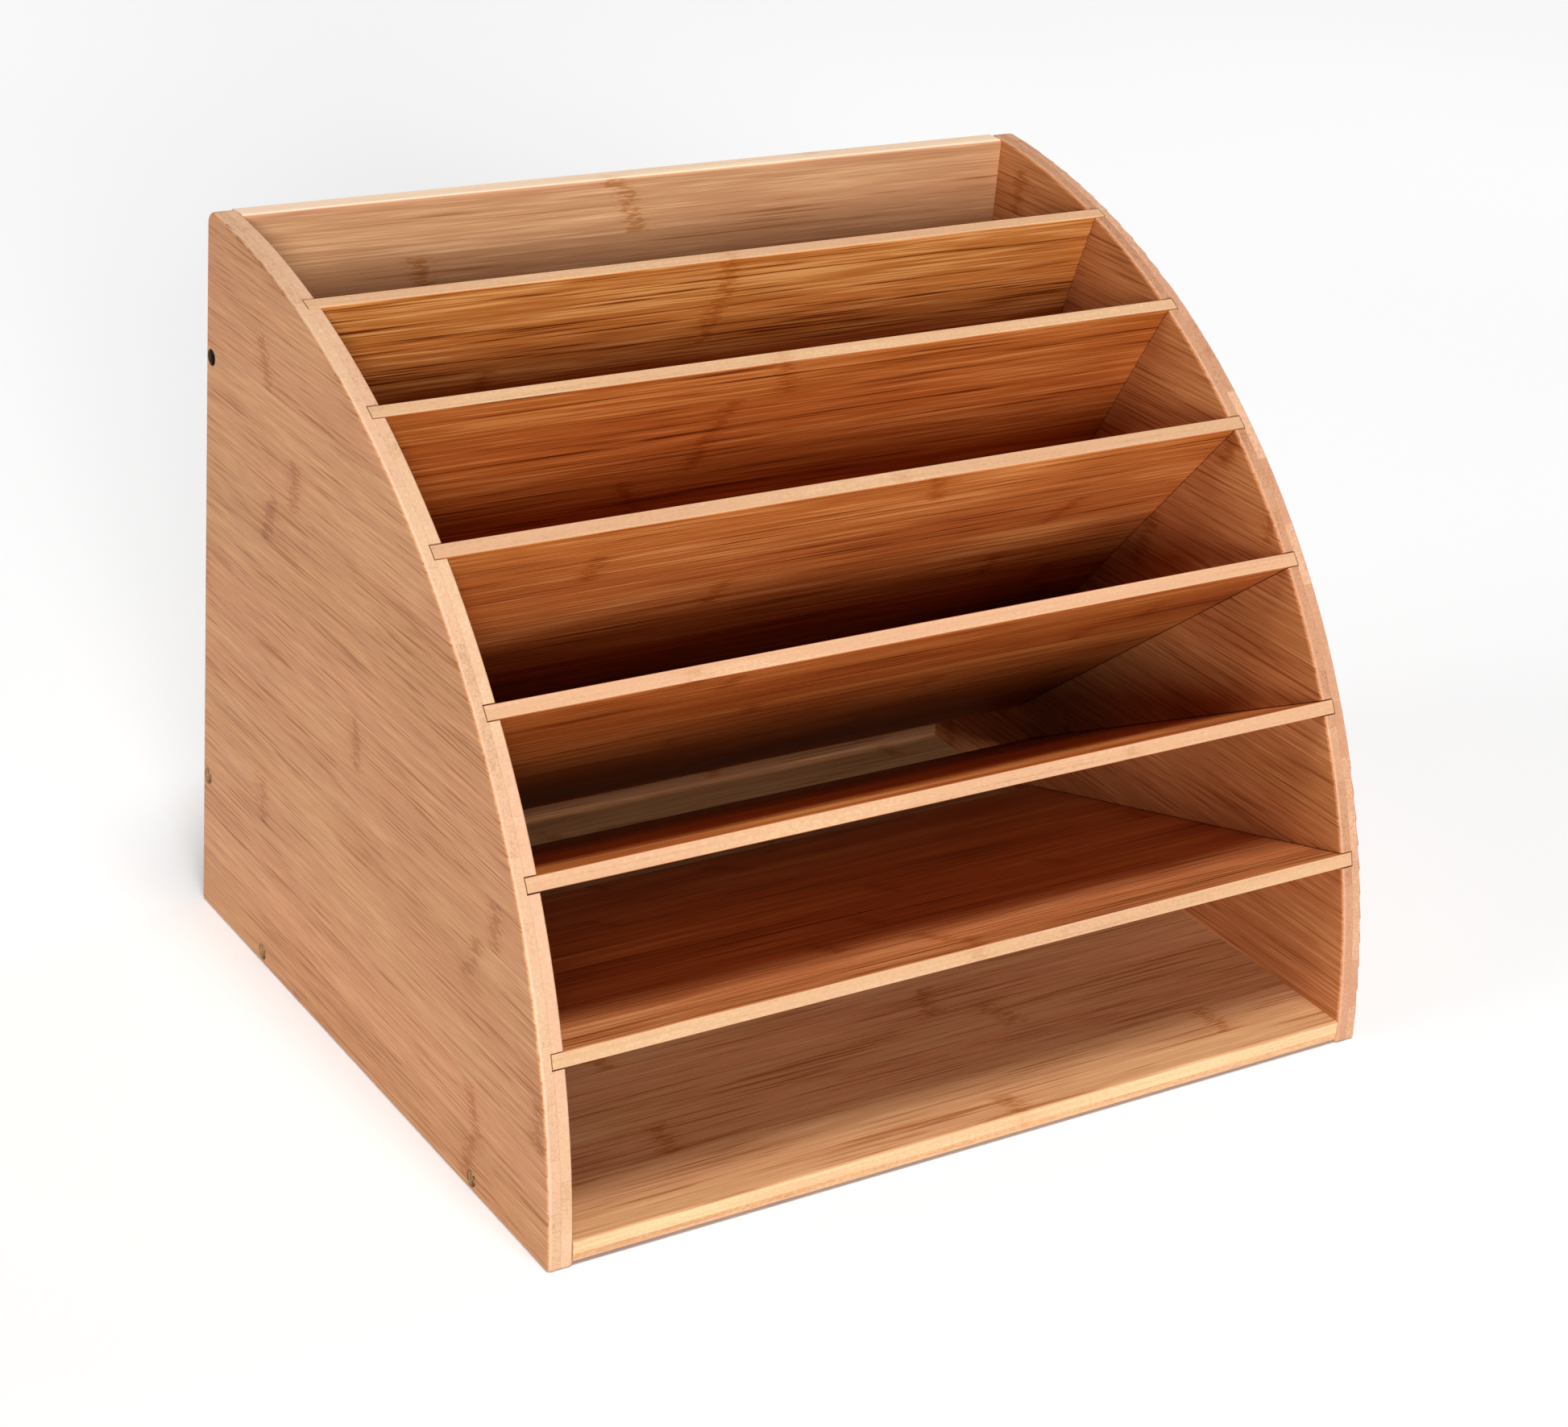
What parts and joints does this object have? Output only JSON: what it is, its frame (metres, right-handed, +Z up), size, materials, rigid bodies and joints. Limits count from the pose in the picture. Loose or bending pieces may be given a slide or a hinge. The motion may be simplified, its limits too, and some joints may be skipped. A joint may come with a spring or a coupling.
{
  "type": "desktop file sorter",
  "caption": "Bamboo desktop file sorter with quarter-round side panels and fanned, removable dividers that hold papers and books flat or upright.",
  "frame": {"origin": "centre of the footprint, on the surface that the sorter stands on", "axes": "+X to the right seen from the front, +Y to the back panel, +Z up; the open compartments face -Y and up"},
  "size_m": [0.336, 0.2665, 0.2663],
  "materials": {
    "side_bamboo": "satin clear lacquer on laminated bamboo strips",
    "panel_bamboo": "satin clear lacquer on laminated bamboo strips",
    "divider_bamboo": "satin clear lacquer on thin bamboo board",
    "screw_steel": "zinc plated"
  },
  "bodies": {
    "carcass": {"left_side": "side_bamboo", "right_side": "side_bamboo", "back_panel": "panel_bamboo", "bottom_panel": "panel_bamboo", "screw_left_back_upper": "screw_steel", "screw_left_back_lower": "screw_steel", "screw_left_bottom_rear": "screw_steel", "screw_left_bottom_front": "screw_steel", "screw_right_back_upper": "screw_steel", "screw_right_back_lower": "screw_steel", "screw_right_bottom_rear": "screw_steel", "screw_right_bottom_front": "screw_steel"},
    "divider_1": {"divider_1": "divider_bamboo"},
    "divider_2": {"divider_2": "divider_bamboo"},
    "divider_3": {"divider_3": "divider_bamboo"},
    "divider_4": {"divider_4": "divider_bamboo"},
    "divider_5": {"divider_5": "divider_bamboo"},
    "divider_6": {"divider_6": "divider_bamboo"}
  },
  "joints": [
    {"name": "divider_1_slide", "type": "slide", "parent": "carcass", "child": "divider_1", "axis": [0, -0.2974, 0.9548], "range_m": [0, 0.188]},
    {"name": "divider_2_slide", "type": "slide", "parent": "carcass", "child": "divider_2", "axis": [0, -0.4695, 0.8829], "range_m": [0, 0.188]},
    {"name": "divider_3_slide", "type": "slide", "parent": "carcass", "child": "divider_3", "axis": [0, -0.6307, 0.776], "range_m": [0, 0.188]},
    {"name": "divider_4_slide", "type": "slide", "parent": "carcass", "child": "divider_4", "axis": [0, -0.7683, 0.6401], "range_m": [0, 0.188]},
    {"name": "divider_5_slide", "type": "slide", "parent": "carcass", "child": "divider_5", "axis": [0, -0.8771, 0.4802], "range_m": [0, 0.188]},
    {"name": "divider_6_slide", "type": "slide", "parent": "carcass", "child": "divider_6", "axis": [0, -0.9542, 0.299], "range_m": [0, 0.188]}
  ]
}
